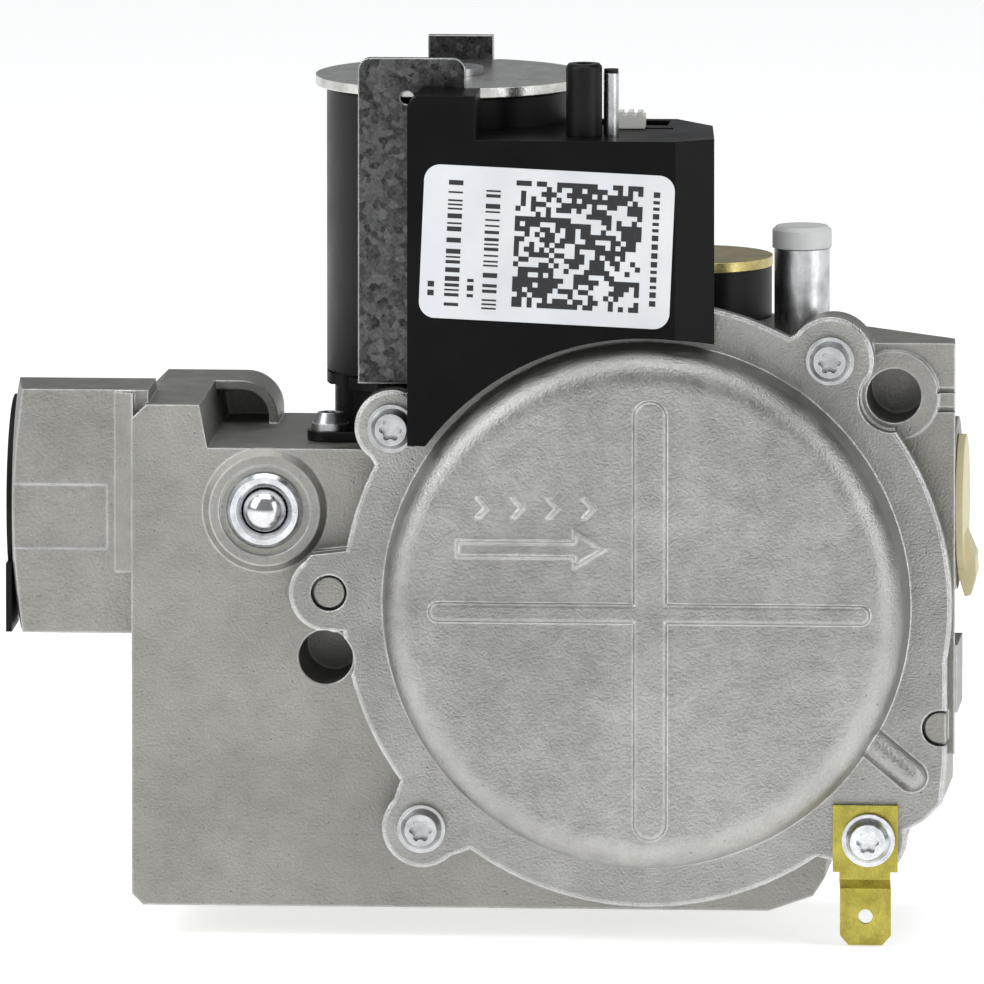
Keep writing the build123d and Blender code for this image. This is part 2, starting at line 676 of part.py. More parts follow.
def outlet_cap():
    """Yellow push-in cap with a moulded pull tab."""
    face = OUTLET_FACE_X + 0.1
    cap = bar_x(8.6, face, face + 0.9, 0, PORT_Z)
    cap += bar_x(OUTLET_RELIEF_R - 0.1, OUTLET_FACE_X - OUTLET_RELIEF_DEPTH + 0.3, face + 0.4, 0, PORT_Z)
    cap -= bar_x(OUTLET_RELIEF_R - 1.0, OUTLET_FACE_X - 5, face + 0.1, 0, PORT_Z)
    tab = outline(
        [
            (face, PORT_Z - 3.4),
            (face + 0.9, PORT_Z - 3.4),
            (face + 2.2, PORT_Z - 6.4),
            (face + 2.3, PORT_Z - 8.8),
            (face + 1.7, PORT_Z - 11.2),
            (face + 0.9, PORT_Z - 11.4),
            (face, PORT_Z - 8.4),
        ]
    )
    cap += slab(tab, -3.4, 3.4)
    return cap


def coil_yoke():
    """The bent steel frame: front strip, floor and rear strip."""
    floor = block(YOKE_LEFT_X, COIL_X + 8.5, YOKE_FRONT_Y, COIL_Y + 17.0, YOKE_FLOOR_Z, YOKE_FLOOR_Z + YOKE_T)
    strip = block(
        YOKE_LEFT_X, YOKE_RIGHT_X, YOKE_FRONT_Y, YOKE_FRONT_Y + YOKE_T, YOKE_FLOOR_Z, YOKE_TOP_Z - 3
    )
    corner = 1.6
    head = RectangleRounded(YOKE_RIGHT_X - YOKE_LEFT_X, 7.0, corner)
    head = Pos((YOKE_LEFT_X + YOKE_RIGHT_X) / 2, YOKE_TOP_Z - 3.5) * head
    strip += slab(head, YOKE_FRONT_Y, YOKE_FRONT_Y + YOKE_T)
    back_y = COIL_Y + 15.8
    rear = block(COIL_X - 4.0, COIL_X + 4.2, back_y, back_y + YOKE_T, YOKE_FLOOR_Z, YOKE_TOP_Z - 0.8)
    yoke = floor + strip + rear
    yoke -= bar_z(TUBE_OUT_R + 0.3, COIL_X, COIL_Y, YOKE_FLOOR_Z - 1, YOKE_FLOOR_Z + 3)
    yoke -= bar_y(0.8, (49.6, 50.6), YOKE_FRONT_Y - 1, YOKE_FRONT_Y + 3)
    return yoke


def coil_top_plate():
    plate = bar_z(PLATE_R, COIL_X, COIL_Y, PLATE_Z, PLATE_Z + PLATE_T)
    gap = 0.1
    plate -= block(
        YOKE_LEFT_X - gap, YOKE_RIGHT_X + gap, -20, YOKE_FRONT_Y + YOKE_T + gap, PLATE_Z - 1, PLATE_Z + 3
    )
    back_y = COIL_Y + 15.8
    plate -= block(
        COIL_X - 4.0 - gap, COIL_X + 4.5 + gap, back_y - gap, back_y + 3, PLATE_Z - 1, PLATE_Z + 3
    )
    plate -= bar_z(4.1, COIL_X, COIL_Y, PLATE_Z - 1, PLATE_Z + 3)
    return plate


def coil_base():
    """Black moulded base between the shelf and the yoke, with two screw feet."""
    base = bar_z(BASE_R, COIL_X, COIL_Y, SHELF_Z + 0.2, YOKE_FLOOR_Z - 0.2)
    base += bar_z(JACKET_R, COIL_X, COIL_Y, YOKE_FLOOR_Z - 1.6, YOKE_FLOOR_Z - 0.2)
    for x, y in coil_screw_places():
        foot = bar_z(2.9, x, y, SHELF_Z + 0.1, SHELF_Z + 1.3)
        foot += block(min(x, COIL_X), max(x, COIL_X), y - 2.9, y + 2.9, SHELF_Z + 0.1, SHELF_Z + 1.3)
        base += foot
        base -= bar_z(3.0, x, y, SHELF_Z + 1.3, YOKE_FLOOR_Z)
        base -= bar_z(1.6, x, y, SHELF_Z - 1, SHELF_Z + 2)
    base -= bar_z(TUBE_OUT_R + 0.3, COIL_X, COIL_Y, SHELF_Z - 1, YOKE_FLOOR_Z + 1)
    # Relief round the cover's screw boss.
    base -= block(40.0, 54.2, -20, -13.6, SHELF_Z - 1, YOKE_FLOOR_Z + 1)
    return base


def coil_mount_screws():
    made = []
    for x, y in coil_screw_places():
        body = screw(2.4, 2.2, 1.4, 6.0, 1.2)
        made.append(Pos(x, y, SHELF_Z + 1.3) * body)
    return Compound(made)


def coil_bobbin():
    z0 = YOKE_FLOOR_Z + YOKE_T + 0.3
    z1 = JACKET_TOP
    tube = bar_z(7.3, COIL_X, COIL_Y, z0, z1)
    tube += bar_z(14.1, COIL_X, COIL_Y, z0, z0 + 1.4)
    tube += bar_z(14.1, COIL_X, COIL_Y, z1 - 1.4, z1)
    tube -= bar_z(TUBE_OUT_R + 0.3, COIL_X, COIL_Y, z0 - 1, z1 + 1)
    return tube


def coil_winding():
    z0 = YOKE_FLOOR_Z + YOKE_T + 1.9
    z1 = JACKET_TOP - 1.6
    ring = bar_z(13.6, COIL_X, COIL_Y, z0, z1)
    return ring - bar_z(7.5, COIL_X, COIL_Y, z0 - 1, z1 + 1)


def coil_jacket():
    shell = bar_z(JACKET_R, COIL_X, COIL_Y, JACKET_BOTTOM, JACKET_TOP)
    shell -= bar_z(14.4, COIL_X, COIL_Y, JACKET_BOTTOM - 1, JACKET_TOP + 1)
    # It straddles the yoke's floor.
    gap = 0.3
    yoke_right = COIL_X + 8.5
    yoke_top = YOKE_FLOOR_Z + YOKE_T + gap
    return shell - block(YOKE_LEFT_X - gap, yoke_right + gap, -20, 20, JACKET_BOTTOM - 1, yoke_top)


def plunger_guide_tube():
    tube = bar_z(TUBE_OUT_R, COIL_X, COIL_Y, 4.6, 46.0)
    tube += bar_z(11.8, COIL_X, COIL_Y, 5.2, 6.4)
    return tube - bar_z(TUBE_IN_R, COIL_X, COIL_Y, 4, 47)


def guide_tube_seal():
    ring = Pos(COIL_X, COIL_Y, 4.45) * Torus(10.75, 0.7)
    return ring


def fixed_pole():
    pole = bar_z(PLUNGER_R, COIL_X, COIL_Y, POLE_FACE_Z, 50.4)
    pole += bar_z(4.0, COIL_X, COIL_Y, 50.4, PLATE_Z + PLATE_T + 0.9)
    return pole


def redundant_plunger():
    rod = bar_z(PLUNGER_R, COIL_X, COIL_Y, SEAT_Z + 2.4, PLUNGER_TOP)
    return rod - bar_z(3.7, COIL_X, COIL_Y, 20.0, PLUNGER_TOP + 1)


def redundant_valve_disc():
    return bar_z(6.2, COIL_X, COIL_Y, SEAT_Z, SEAT_Z + 2.4)


def redundant_spring():
    return Pos(COIL_X, COIL_Y, 20.0) * spring(2.9, 0.4, POLE_FACE_Z - 20.0, 9)


def main_diaphragm():
    disc_y0 = CLAMP_Y - DIAPHRAGM_T
    sheet = bar_y(36.4, (COVER_X, COVER_Z), disc_y0, CLAMP_Y)
    bore = bar_y(STEM_R, (COVER_X, COVER_Z), disc_y0 - 1, CLAMP_Y + 1)
    sheet = sheet - bore
    sheet -= bar_y(MOUNT_CUT_R + 0.4, MOUNT_RIGHT, disc_y0 - 1, CLAMP_Y + 1)
    return sheet


def diaphragm_plate():
    plate = bar_y(24.0, (COVER_X, COVER_Z), CLAMP_Y, CLAMP_Y + 0.9)
    return plate - bar_y(STEM_R, (COVER_X, COVER_Z), CLAMP_Y - 1, CLAMP_Y + 2)


def main_valve_stem():
    stem = bar_y(STEM_R, (COVER_X, COVER_Z), CLAMP_Y - DIAPHRAGM_T, MAIN_SEAT_Y + 2.4)
    stem += bar_y(4.2, (COVER_X, COVER_Z), CLAMP_Y - DIAPHRAGM_T - 1.2, CLAMP_Y - DIAPHRAGM_T)
    return stem


def main_valve_disc():
    """Rubber facing that closes on the main seat."""
    ring = bar_y(MAIN_DISC_R, (COVER_X, COVER_Z), MAIN_SEAT_Y, MAIN_SEAT_Y + 2.2)
    return ring - bar_y(STEM_R, (COVER_X, COVER_Z), MAIN_SEAT_Y - 1, MAIN_SEAT_Y + 3)


def main_disc_backing():
    """Steel cup behind the rubber facing."""
    y0 = MAIN_SEAT_Y + 2.2
    cup = bar_y(MAIN_DISC_R, (COVER_X, COVER_Z), y0, y0 + 1.0)
    return cup - bar_y(STEM_R, (COVER_X, COVER_Z), y0 - 1, y0 + 0.2)


def main_valve_spring():
    y0 = MAIN_SEAT_Y + 3.2
    length = BODY_BACK - 0.6 - y0
    body = spring(5.2, 0.5, length, 5)
    return Pos(COVER_X, y0, COVER_Z) * Rot(-90, 0, 0) * body


def rear_gasket():
    y0 = BODY_BACK
    ring = bar_y(REAR_COVER_R, (COVER_X, COVER_Z), y0, y0 + REAR_GASKET_T)
    ring -= bar_y(MAIN_CHAMBER_R, (COVER_X, COVER_Z), y0 - 1, y0 + 2)
    for place in rear_screw_places():
        ring -= bar_y(1.6, place, y0 - 1, y0 + 2)
    return ring


def rear_cover():
    """The cap over the back of the main valve."""
    y0 = BODY_BACK + REAR_GASKET_T
    cover = bar_y(REAR_COVER_R, (COVER_X, COVER_Z), y0, y0 + REAR_COVER_T - 0.8)
    cover += cone_y(9.4, 8.2, (COVER_X, COVER_Z), y0 + 1, y0 + REAR_COVER_T + 1.4)
    cover += bar_y(MAIN_CHAMBER_R - 0.3, (COVER_X, COVER_Z), BODY_BACK - 0.6, y0 + 1)
    for place in rear_screw_places():
        cover -= bar_y(1.6, place, y0 - 1, y0 + 9)
        cover -= bar_y(2.7, place, y0 + REAR_COVER_T - 0.8, y0 + 9)
    return cover


def rear_cover_screws():
    made = []
    for x, z in rear_screw_places():
        body = screw(2.5, 1.9, 1.25, 9.0, 1.15)
        seat_y = BODY_BACK + REAR_GASKET_T + REAR_COVER_T - 0.8
        made.append(Pos(x, seat_y, z) * Rot(-90, 0, 0) * body)
    return Compound(made)


def housing_front():
    """The front wall of the control housing, cut away round the dome and one cover screw."""
    front = outline(
        [
            (BOX_LEFT, BOX_BOTTOM),
            (BOX_RIGHT, BOX_BOTTOM),
            (BOX_RIGHT, BOX_TOP),
            (BOX_STEP_X, BOX_TOP),
            (BOX_STEP_X, BOX_TOP_LEFT),
            (BOX_LEFT + 1.2, BOX_TOP_LEFT),
            (BOX_LEFT, BOX_TOP_LEFT - 1.2),
        ]
    )
    return front - disc((COVER_X, COVER_Z), DOME_CLEARANCE_R)


def housing_plan():
    """The housing seen from above: faceted front right corner, diagonal rear right corner."""
    return outline(
        [
            (BOX_LEFT, BOX_FRONT),
            (BOX_FACET_X, BOX_FRONT),
            (BOX_RIGHT, BOX_FRONT + 3.4),
            (BOX_RIGHT - BOX_LEAN, BOX_BACK - 7.0),
            (BOX_RIGHT - 6.0, BOX_BACK),
            (BOX_LEFT, BOX_BACK),
        ]
    )


def control_housing():
    """Moulded box in front of and beside the coil, open underneath where it sits on the casting."""
    reach = slab(housing_front(), BOX_FRONT, BOX_BACK)
    box = reach & plan(housing_plan(), BOX_BOTTOM - 1, BOX_TOP_LEFT + 1)
    # Nothing of it is behind the cover's flange.
    behind_y = FLANGE_FRONT - 0.4
    box -= block(BOX_LEFT - 1, BOX_RIGHT + 1, behind_y, BOX_BACK + 1, BOX_BOTTOM - 1, TOP_RIGHT_Z + 0.3)
    box -= slab(disc((COVER_X, COVER_Z), FLANGE_R + 0.5), FLANGE_FRONT - 0.4, BODY_FRONT + 0.6)
    # It clears the coil, its front strip and its plate.
    box -= bar_z(COIL_CLEARANCE_R, COIL_X, COIL_Y, BOX_BOTTOM - 1, BOX_TOP + 1)
    box -= block(BOX_LEFT - 1, COIL_X + 4, YOKE_FRONT_Y - 0.6, BOX_BACK + 1, BOX_BOTTOM - 1, BOX_TOP_LEFT + 1)
    box -= block(BOX_LEFT - 1, BOX_STEP_X + 1, YOKE_FRONT_Y - 0.7, BOX_BACK + 1, BOX_TOP, BOX_TOP_LEFT + 1)
    # Hollow.
    floor_z = TOP_RIGHT_Z - 1
    room_left = BOX_LEFT + 22.4
    room_right = BOX_RIGHT - BOX_LEAN - BOX_WALL
    room_back = BOX_BACK - BOX_WALL
    room = block(room_left, room_right, BODY_FRONT + 1.4, room_back, floor_z, BOX_TOP - BOX_WALL)
    lobby = block(
        BOX_LEFT + BOX_WALL, BOX_FACET_X, BOX_FRONT + BOX_WALL, BODY_FRONT - 0.8, 27.4, BOX_TOP - BOX_WALL
    )
    link = block(room_left, BOX_FACET_X, BOX_FRONT + 6, BODY_FRONT + 2, 27.4, BOX_TOP - BOX_WALL)
    corner = outline(
        [
            (BOX_RIGHT + 1, BOX_BACK - 11.0),
            (BOX_RIGHT - 9.0, BOX_BACK),
            (BOX_RIGHT + 1, BOX_BACK + 1),
        ]
    )
    room -= plan(corner, floor_z - 1, BOX_TOP + 1)
    cavity = room + lobby + link
    cavity -= block(
        SOCKET_X0 - 1.2, SOCKET_X1 + 1.2, SOCKET_Y0 - 1.2, SOCKET_Y1 + 3, SOCKET_FLOOR_Z - 1.5, BOX_TOP
    )
    box -= cavity
    box -= block(SOCKET_X0, SOCKET_X1, SOCKET_Y0, SOCKET_Y1, SOCKET_FLOOR_Z, BOX_TOP + 1)
    # Slot for the switch slider.
    box -= block(SWITCH_X - 1.3, SWITCH_X + 5.3, SWITCH_Y - 0.8, SWITCH_Y + 0.8, BOX_TOP - 3, BOX_TOP + 1)
    # Screw-head recess behind the lower left corner.
    box -= bar_y(SCREW_HEAD_R + 0.5, EAR_TL, FLANGE_FRONT - SCREW_HEAD_H - 0.4, BODY_FRONT)
    # Holes for the spigot and the tube.
    box -= bar_z(1.3, SPIGOT_X, SPIGOT_Y, BOX_TOP - 4, BOX_TOP + 1)
    box -= bar_z(TUBE_R + 0.05, TUBE_X, TUBE_Y, BOX_TOP - 4, BOX_TOP + 1)
    return box


SPIGOT_X = 71.9
SPIGOT_Y = -20.6
SPIGOT_TOP = 55.5
SPIGOT_R = 2.25
TUBE_X = 75.2
TUBE_Y = -19.4
TUBE_R = 0.95
TUBE_TOP = 54.2


def vent_spigot():
    """Black moulded hose spigot on the housing roof."""
    body = bar_z(SPIGOT_R, SPIGOT_X, SPIGOT_Y, BOX_TOP, SPIGOT_TOP - 0.4)
    body += cone_z(SPIGOT_R, SPIGOT_R - 0.3, SPIGOT_X, SPIGOT_Y, SPIGOT_TOP - 0.4, SPIGOT_TOP)
    body += bar_z(1.25, SPIGOT_X, SPIGOT_Y, BOX_TOP - 1.4, BOX_TOP + 0.1)
    return body - bar_z(1.0, SPIGOT_X, SPIGOT_Y, BOX_TOP - 3, SPIGOT_TOP + 1)


def sensing_tube():
    tube = bar_z(TUBE_R, TUBE_X, TUBE_Y, BOX_TOP - 1.4, TUBE_TOP)
    return tube - bar_z(0.5, TUBE_X, TUBE_Y, BOX_TOP - 3, SPIGOT_TOP)


def sensing_tube_tip():
    tip = bar_z(TUBE_R - 0.05, TUBE_X, TUBE_Y, TUBE_TOP, TUBE_TOP + 0.5)
    return tip + bar_z(0.45, TUBE_X, TUBE_Y, TUBE_TOP - 2.0, TUBE_TOP)


def switch_slider():
    """On-off slider: a tab on the roof and a keeper under it."""
    tab = block(SWITCH_X - 1.8, SWITCH_X + 1.8, SWITCH_Y - 1.5, SWITCH_Y + 1.5, BOX_TOP + 0.1, BOX_TOP + 1.8)
    grip = None
    for index in range(3):
        x = SWITCH_X - 1.2 + 1.2 * index
        ridge = block(x - 0.3, x + 0.3, SWITCH_Y - 1.5, SWITCH_Y + 1.5, BOX_TOP + 1.4, BOX_TOP + 2.2)
        grip = ridge if grip is None else grip + ridge
    neck = block(SWITCH_X - 0.9, SWITCH_X + 0.9, SWITCH_Y - 0.7, SWITCH_Y + 0.7, BOX_TOP - 2.6, BOX_TOP + 0.5)
    under_z = BOX_TOP - BOX_WALL - 0.15
    keeper = block(SWITCH_X - 1.8, SWITCH_X + 1.8, SWITCH_Y - 1.4, SWITCH_Y + 1.4, under_z - 1.05, under_z)
    return tab + grip + neck + keeper


def connector_pins():
    """Four square pins in the wiring socket."""
    made = []
    for column in range(4):
        x = SOCKET_X0 + 1.35 + 2.1 * column
        made.append(
            block(x - 0.32, x + 0.32, SOCKET_Y0 + 2.5, SOCKET_Y0 + 3.14, SOCKET_FLOOR_Z, SOCKET_FLOOR_Z + 4.6)
        )
    return Compound(made)


def control_board():
    """The printed circuit board standing behind the front wall."""
    board = block(54.0, 82.5, -22.3, -20.9, 28.2, 43.8)
    return board


def board_components():
    """Relay, capacitor and driver packages on the board."""
    relay = block(57.0, 66.0, -24.9, -22.35, 30.0, 38.0)
    chip = block(70.0, 76.0, -23.9, -22.35, 33.0, 38.0)
    fuse = block(68.0, 79.0, -24.4, -22.35, 40.0, 42.0)
    return Compound([relay, chip, fuse])


LABEL_X = 67.7
LABEL_Z = 33.3
LABEL_W = 31.2
LABEL_H = 19.2
LABEL_TILT = -2.5
LABEL_T = 0.12


def rating_label():
    shape = Pos(LABEL_X, LABEL_Z) * Rot(0, 0, LABEL_TILT) * RectangleRounded(LABEL_W, LABEL_H, 2.0)
    return slab(shape, BOX_FRONT - LABEL_T, BOX_FRONT)


def pilot_coil_jacket():
    z0 = TOP_RIGHT_Z + 0.2
    shell = bar_z(PILOT_R, PILOT_X, PILOT_Y, z0, PILOT_TOP)
    shell -= bar_z(3.4, PILOT_X, PILOT_Y, z0 - 1, PILOT_TOP + 1)
    room = bar_z(8.6, PILOT_X, PILOT_Y, z0 + 1, PILOT_TOP - 1)
    room -= bar_z(4.6, PILOT_X, PILOT_Y, z0, PILOT_TOP)
    return shell - room


def pilot_winding():
    z0 = TOP_RIGHT_Z + 1.3
    ring = bar_z(8.5, PILOT_X, PILOT_Y, z0, PILOT_TOP - 1.1)
    return ring - bar_z(4.7, PILOT_X, PILOT_Y, z0 - 1, PILOT_TOP)


def pilot_top_plate():
    plate = bar_z(PILOT_R + 0.1, PILOT_X, PILOT_Y, PILOT_TOP, PILOT_TOP + PILOT_PLATE_T)
    plate += bar_z(3.3, PILOT_X, PILOT_Y, PILOT_TOP - 2.2, PILOT_TOP + 0.1)
    return plate


def pilot_plunger():
    """Small armature with its rubber tip resting on the pilot seat."""
    rod = bar_z(3.2, PILOT_X, PILOT_Y, 14.6, PILOT_TOP - 3.6)
    rod += cone_z(2.3, 3.2, PILOT_X, PILOT_Y, 13.0, 14.6)
    return rod


def pilot_spring():
    """Return spring round a reduced gap between armature and plate."""
    z0 = PILOT_TOP - 3.6
    return Pos(PILOT_X, PILOT_Y, z0) * spring(2.0, 0.22, 1.4, 2)


def regulator_tower():
    """Threaded tube that holds the regulator's spring and adjuster."""
    tower = bar_z(TOWER_R, REG_X, REG_Y, TOP_RIGHT_Z, TOWER_TOP)
    tower += bar_z(4.3, REG_X, REG_Y, TOP_RIGHT_Z - 1.4, TOP_RIGHT_Z)
    tower -= bar_z(ADJUSTER_R + 0.08, REG_X, REG_Y, TOP_RIGHT_Z - 3, TOWER_TOP + 1)
    return tower


def regulator_cap():
    """Grey push-on cap over the adjuster."""
    cap = bar_z(CAP_R, REG_X, REG_Y, TOWER_TOP + 0.1, CAP_TOP - 0.5)
    cap += cone_z(CAP_R, CAP_R - 0.5, REG_X, REG_Y, CAP_TOP - 0.5, CAP_TOP)
    cap += bar_z(ADJUSTER_R, REG_X, REG_Y, TOWER_TOP - 1.6, TOWER_TOP + 0.2)
    return cap


ADJUSTER_TOP = 29.0
ADJUSTER_BOTTOM = 25.6


def regulator_adjuster():
    """Slotted plug screw that loads the regulator spring."""
    plug = bar_z(ADJUSTER_R, REG_X, REG_Y, ADJUSTER_BOTTOM, ADJUSTER_TOP)
    slot = block(REG_X - 3, REG_X + 3, REG_Y - 0.35, REG_Y + 0.35, ADJUSTER_TOP - 0.9, ADJUSTER_TOP + 1)
    return plug - slot


def regulator_spring_seat():
    seat = bar_z(ADJUSTER_R - 0.05, REG_X, REG_Y, ADJUSTER_BOTTOM - 0.9, ADJUSTER_BOTTOM)
    return seat


def regulator_spring():
    z0 = 17.0
    return Pos(REG_X, REG_Y, z0) * spring(1.35, 0.22, ADJUSTER_BOTTOM - 0.9 - z0, 8)


def regulator_diaphragm():
    """Small rubber disc with a centre button at the bottom of the regulator well."""
    sheet = bar_z(4.3, REG_X, REG_Y, 16.0, 16.5)
    sheet += bar_z(1.9, REG_X, REG_Y, 16.5, 17.0)
    return sheet


PARTS = {
    "body_casting": body_casting,
    "diaphragm_cover": diaphragm_cover,
    "cover_screws": cover_screws,
    "ground_screw": ground_screw,
    "ground_terminal": ground_terminal,
    "passage_plug_sleeve": passage_plug_sleeve,
    "passage_plug_ball": passage_plug_ball,
    "inlet_screen": inlet_screen,
    "inlet_cap": inlet_cap,
    "outlet_cap": outlet_cap,
    "coil_yoke": coil_yoke,
    "coil_top_plate": coil_top_plate,
    "coil_base": coil_base,
    "coil_mount_screws": coil_mount_screws,
    "coil_bobbin": coil_bobbin,
    "coil_winding": coil_winding,
    "coil_jacket": coil_jacket,
    "plunger_guide_tube": plunger_guide_tube,
    "guide_tube_seal": guide_tube_seal,
    "fixed_pole": fixed_pole,
    "redundant_plunger": redundant_plunger,
    "redundant_valve_disc": redundant_valve_disc,
    "redundant_spring": redundant_spring,
    "main_diaphragm": main_diaphragm,
    "diaphragm_plate": diaphragm_plate,
    "main_valve_stem": main_valve_stem,
    "main_valve_disc": main_valve_disc,
    "main_disc_backing": main_disc_backing,
    "main_valve_spring": main_valve_spring,
    "rear_gasket": rear_gasket,
    "rear_cover": rear_cover,
    "rear_cover_screws": rear_cover_screws,
    "control_housing": control_housing,
    "vent_spigot": vent_spigot,
    "sensing_tube": sensing_tube,
    "sensing_tube_tip": sensing_tube_tip,
    "switch_slider": switch_slider,
    "connector_pins": connector_pins,
    "control_board": control_board,
    "board_components": board_components,
    "rating_label": rating_label,
    "pilot_coil_jacket": pilot_coil_jacket,
    "pilot_winding": pilot_winding,
    "pilot_top_plate": pilot_top_plate,
    "pilot_plunger": pilot_plunger,
    "pilot_spring": pilot_spring,
    "regulator_tower": regulator_tower,
    "regulator_cap": regulator_cap,
    "regulator_adjuster": regulator_adjuster,
    "regulator_spring_seat": regulator_spring_seat,
    "regulator_spring": regulator_spring,
    "regulator_diaphragm": regulator_diaphragm,
}

os.makedirs("parts", exist_ok=True)
for node, make in PARTS.items():
    export_step(Pos(0, 0, -PORT_Z) * make(), "parts/" + node + ".step")
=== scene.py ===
import json
import math
import random

import bmesh
import bpy
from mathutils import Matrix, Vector


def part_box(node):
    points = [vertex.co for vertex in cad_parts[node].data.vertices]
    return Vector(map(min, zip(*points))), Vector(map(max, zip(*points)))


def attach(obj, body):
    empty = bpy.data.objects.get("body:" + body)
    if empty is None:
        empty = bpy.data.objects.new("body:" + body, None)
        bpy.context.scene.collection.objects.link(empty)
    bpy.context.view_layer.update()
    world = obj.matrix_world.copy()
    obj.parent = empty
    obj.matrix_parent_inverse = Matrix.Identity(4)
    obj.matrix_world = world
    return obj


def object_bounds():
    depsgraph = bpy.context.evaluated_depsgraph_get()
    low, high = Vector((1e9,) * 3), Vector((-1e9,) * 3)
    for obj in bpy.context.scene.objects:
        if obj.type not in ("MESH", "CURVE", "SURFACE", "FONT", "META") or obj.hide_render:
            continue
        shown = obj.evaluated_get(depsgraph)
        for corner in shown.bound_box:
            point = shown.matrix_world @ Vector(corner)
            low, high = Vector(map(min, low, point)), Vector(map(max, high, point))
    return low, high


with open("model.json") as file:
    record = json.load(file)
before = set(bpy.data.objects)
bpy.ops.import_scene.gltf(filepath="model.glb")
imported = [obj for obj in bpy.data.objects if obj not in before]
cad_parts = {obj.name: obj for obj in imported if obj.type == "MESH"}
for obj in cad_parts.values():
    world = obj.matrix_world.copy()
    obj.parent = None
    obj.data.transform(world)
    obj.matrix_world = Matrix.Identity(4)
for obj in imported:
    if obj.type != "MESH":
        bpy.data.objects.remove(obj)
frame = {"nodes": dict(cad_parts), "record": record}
CAD_LOW, CAD_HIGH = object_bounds()
NODES = frame["nodes"]
MM = 0.001


class Shader:
    """A principled material with short calls for the nodes that feed it.

    Its coordinates are the object's own, in metres of the shared frame.
    """

    def __init__(self, name):
        self.material = bpy.data.materials.new(name)
        self.material.use_nodes = True
        self.tree = self.material.node_tree
        self.tree.nodes.clear()
        self.output = self.node("ShaderNodeOutputMaterial")
        self.surface = self.node("ShaderNodeBsdfPrincipled")
        self.tree.links.new(self.surface.outputs["BSDF"], self.output.inputs["Surface"])
        self.coords = self.node("ShaderNodeTexCoord").outputs["Object"]

    def node(self, kind):
        return self.tree.nodes.new(kind)

    def link(self, source, target):
        self.tree.links.new(source, target)

    def feed(self, value, socket):
        """Puts a number, a colour or another node's output into a socket."""
        if isinstance(value, bpy.types.NodeSocket):
            self.link(value, socket)
        else:
            socket.default_value = value

    def shifted(self, seed):
        """Object coordinates moved by a seed, so that two materials differ."""
        move = self.node("ShaderNodeMapping")
        rng = random.Random(seed)
        move.inputs["Location"].default_value = [rng.uniform(-1, 1) for _ in range(3)]
        self.link(self.coords, move.inputs["Vector"])
        return move.outputs["Vector"]

    def stretched(self, seed, scale):
        """Shifted coordinates scaled differently along each axis."""
        move = self.node("ShaderNodeMapping")
        move.inputs["Scale"].default_value = scale
        self.link(self.shifted(seed), move.inputs["Vector"])
        return move.outputs["Vector"]

    def noise(self, size, seed=0, detail=4.0, roughness=0.55, vector=None):
        """Noise whose features are about size metres across."""
        made = self.node("ShaderNodeTexNoise")
        made.inputs["Scale"].default_value = 1.0 / size
        made.inputs["Detail"].default_value = detail
        made.inputs["Roughness"].default_value = roughness
        self.link(vector or self.shifted(seed), made.inputs["Vector"])
        return made.outputs["Fac"]

    def cells(self, size, seed=0, output="Color"):
        """Voronoi cells about size metres across."""
        made = self.node("ShaderNodeTexVoronoi")
        made.inputs["Scale"].default_value = 1.0 / size
        self.link(self.shifted(seed), made.inputs["Vector"])
        return made.outputs[output]

    def math(self, operation, a, b=0.0, clamp=False):
        made = self.node("ShaderNodeMath")
        made.operation = operation
        made.use_clamp = clamp
        self.feed(a, made.inputs[0])
        self.feed(b, made.inputs[1])
        return made.outputs[0]

    def spread(self, value, low, high, to_low, to_high):
        """Maps low..high to to_low..to_high, clamped."""
        made = self.node("ShaderNodeMapRange")
        self.feed(value, made.inputs["Value"])
        made.inputs["From Min"].default_value = low
        made.inputs["From Max"].default_value = high
        made.inputs["To Min"].default_value = to_low
        made.inputs["To Max"].default_value = to_high
        return made.outputs["Result"]

    def mix(self, factor, a, b):
        made = self.node("ShaderNodeMix")
        made.data_type = "RGBA"
        self.feed(factor, made.inputs["Factor"])
        self.feed(a, made.inputs[6])
        self.feed(b, made.inputs[7])
        return made.outputs[2]

    def rounded(self, radius):
        """Shading normal that rounds edges by radius metres."""
        made = self.node("ShaderNodeBevel")
        made.samples = 4
        made.inputs["Radius"].default_value = radius
        return made.outputs["Normal"]

    def edges(self, radius, gain):
        """0 on open faces, rising to 1 on edges within radius metres."""
        soft = self.rounded(radius)
        hard = self.node("ShaderNodeNewGeometry").outputs["Normal"]
        dot = self.node("ShaderNodeVectorMath")
        dot.operation = "DOT_PRODUCT"
        self.link(soft, dot.inputs[0])
        self.link(hard, dot.inputs[1])
        away = self.math("SUBTRACT", 1.0, dot.outputs["Value"])
        return self.math("MULTIPLY", away, gain, clamp=True)

    def bump(self, height, depth, strength=1.0, normal=None):
        """Bump of depth metres from a 0..1 height."""
        made = self.node("ShaderNodeBump")
        made.inputs["Strength"].default_value = strength
        made.inputs["Distance"].default_value = depth
        self.link(height, made.inputs["Height"])
        if normal is not None:
            self.link(normal, made.inputs["Normal"])
        return made.outputs["Normal"]

    def set(self, **values):
        """Sets principled sockets by name, with _ for a space."""
        for key, value in values.items():
            self.feed(value, self.surface.inputs[key.replace("_", " ")])
        return self.material


def grey(value, warm=0.0):
    """A grey, tinted yellow-green where warm is above 0 and blue where it is below."""
    return (value * (1 + 0.2 * warm), value, value * (1 - warm), 1.0)


